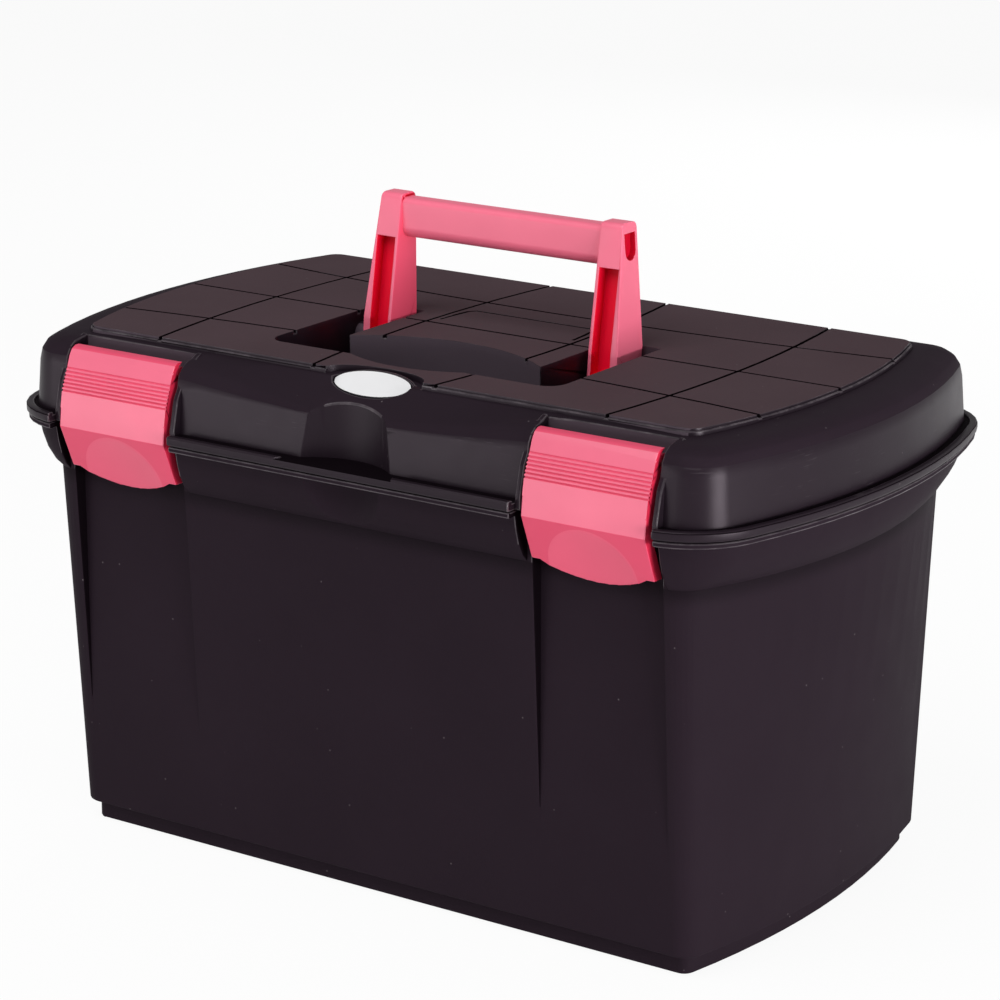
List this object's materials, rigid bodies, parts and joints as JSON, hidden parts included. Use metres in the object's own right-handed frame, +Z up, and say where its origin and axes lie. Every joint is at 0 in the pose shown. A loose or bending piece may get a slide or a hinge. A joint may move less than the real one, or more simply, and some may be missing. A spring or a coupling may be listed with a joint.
{
  "type": "grooming box",
  "caption": "Lidded carry box for horse grooming tools: drafted tub with bowed ends, hinged lid with a tiled standing panel, fold-down handle, front latches and a lift-out tray.",
  "frame": {"origin": "middle of the base, under the middle of the tub", "axes": "+X along the length, -Y towards the front with the latches, +Z up"},
  "size_m": [0.413, 0.2587, 0.2936],
  "materials": {
    "black_plastic": "semi-gloss moulded",
    "pink_plastic": "satin moulded",
    "white_plastic": "gloss",
    "grey_plastic": "matte moulded",
    "steel": "drawn wire"
  },
  "bodies": {
    "tub": {"tub": "black_plastic", "hinge_pins": "steel"},
    "lid": {"lid": "black_plastic", "badge": "white_plastic", "latch_pins": "steel", "handle_pins": "steel"},
    "handle": {"handle": "pink_plastic"},
    "latch_left": {"latch_left": "pink_plastic"},
    "latch_right": {"latch_right": "pink_plastic"},
    "tray": {"tray": "grey_plastic"}
  },
  "joints": [
    {"name": "lid_hinge", "type": "hinge", "parent": "tub", "child": "lid", "pos_m": [0, 0.13, 0.1999], "axis": [-1, 0, 0], "range_deg": [0, 100]},
    {"name": "handle_fold", "type": "hinge", "parent": "lid", "child": "handle", "pos_m": [0, 0.002, 0.226], "axis": [1, 0, 0], "range_deg": [0, 90]},
    {"name": "latch_left_swing", "type": "hinge", "parent": "lid", "child": "latch_left", "pos_m": [-0.125, -0.1068, 0.2253], "axis": [-1, 0, 0], "range_deg": [0, 110]},
    {"name": "latch_right_swing", "type": "hinge", "parent": "lid", "child": "latch_right", "pos_m": [0.125, -0.1068, 0.2253], "axis": [-1, 0, 0], "range_deg": [0, 110]},
    {"name": "tray_lift", "type": "slide", "parent": "tub", "child": "tray", "axis": [0, 0, 1], "range_m": [0, 0.02]}
  ]
}
